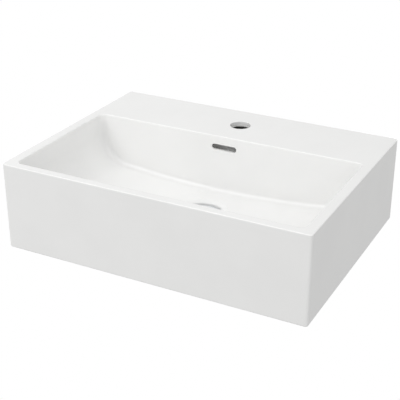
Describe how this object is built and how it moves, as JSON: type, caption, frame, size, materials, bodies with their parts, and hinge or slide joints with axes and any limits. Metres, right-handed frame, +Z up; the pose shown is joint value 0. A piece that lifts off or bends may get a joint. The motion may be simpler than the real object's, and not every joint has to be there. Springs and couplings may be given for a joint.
{
  "type": "wash basin",
  "caption": "Rectangular glazed ceramic wash basin with a wide bowl, one tap hole, an overflow slot, a push-to-open waste and wall fixing bolts.",
  "frame": {"origin": "on the wall's plane (the basin's back face), midway between the two fixing bolts", "axes": "+X to the basin's right as seen from the front, +Y into the wall, +Z up; the front faces -Y"},
  "size_m": [0.515, 0.455, 0.1925],
  "materials": {
    "glaze": "gloss white glaze",
    "chrome_plate": "polished",
    "bare_brass": "turned",
    "spring_steel": "drawn wire",
    "zinc_steel": "zinc plated",
    "black_rubber": "moulded, matt",
    "acetal": "moulded acetal",
    "white_nylon": "moulded nylon",
    "grey_nylon": "moulded nylon"
  },
  "bodies": {
    "basin_set": {"basin": "glaze", "waste_body": "chrome_plate", "flange_gasket": "black_rubber", "click_guide": "bare_brass", "click_spring": "spring_steel", "plug_stud": "bare_brass", "stud_lock_nut": "bare_brass", "lower_seal": "black_rubber", "slip_washer": "acetal", "back_nut": "bare_brass", "hanger_bolt_left": "zinc_steel", "wall_plug_left": "grey_nylon", "fixing_bush_left": "white_nylon", "fixing_washer_left": "zinc_steel", "fixing_nut_left": "zinc_steel", "hanger_bolt_right": "zinc_steel", "wall_plug_right": "grey_nylon", "fixing_bush_right": "white_nylon", "fixing_washer_right": "zinc_steel", "fixing_nut_right": "zinc_steel"},
    "plug": {"plug_cap": "chrome_plate", "plug_seal": "black_rubber", "plug_stem": "bare_brass"},
    "rotor": {"click_rotor": "acetal"}
  },
  "joints": [
    {"name": "plug_slide", "type": "slide", "parent": "basin_set", "child": "plug", "axis": [0, 0, 1], "range_m": [0, 0.008], "deforming": ["click_spring"]},
    {"name": "rotor_turn", "type": "hinge", "parent": "plug", "child": "rotor", "pos_m": [0, -0.207, -0.0726], "axis": [0, 0, 1], "range_deg": [0, 45]}
  ],
  "couplings": [
    {"joint": "rotor_turn", "follows": "plug_slide", "rad_per_m": 98.175}
  ]
}
